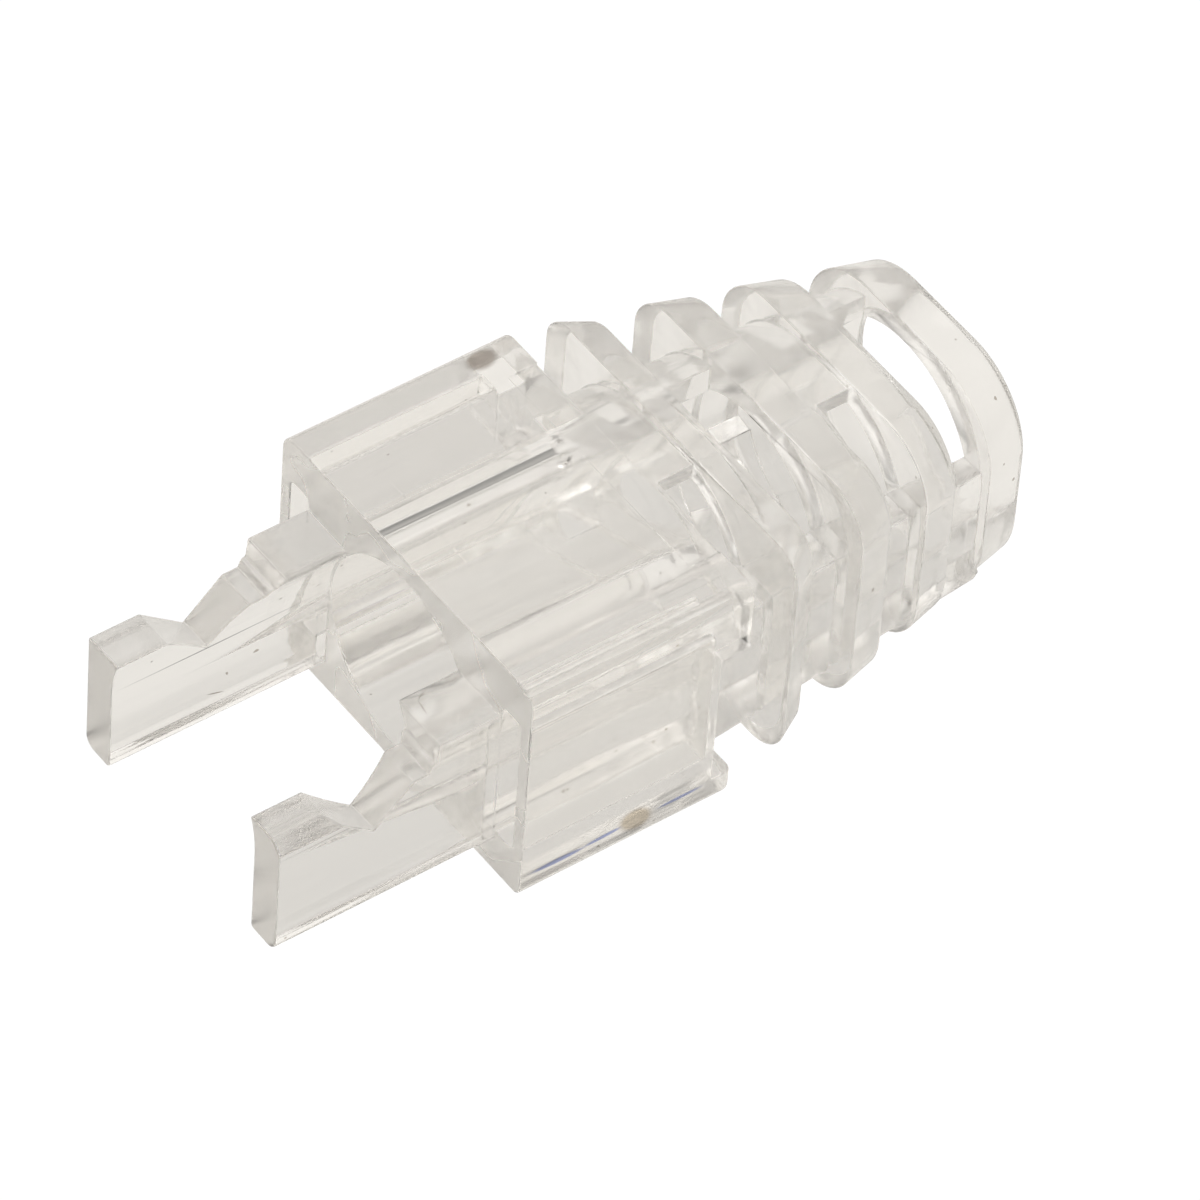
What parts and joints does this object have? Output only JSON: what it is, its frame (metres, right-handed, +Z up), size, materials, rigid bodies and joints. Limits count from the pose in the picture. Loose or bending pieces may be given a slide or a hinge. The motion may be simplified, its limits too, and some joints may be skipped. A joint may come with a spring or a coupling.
{
  "type": "rj45 strain relief boot",
  "caption": "Clear one-piece strain relief boot for a modular data plug: block collar with two arms, side channels and a ribbed, windowed tail around a cable bore.",
  "frame": {"origin": "middle of the part's bounding box at the underside", "axes": "+X along the cable bore from the two arms towards the ribbed tail, +Y across the collar, +Z up from the underside to the flat top"},
  "size_m": [0.0282, 0.013, 0.0089],
  "materials": {
    "boot": "gloss"
  },
  "bodies": {
    "root": {"boot": "boot"}
  },
  "joints": []
}
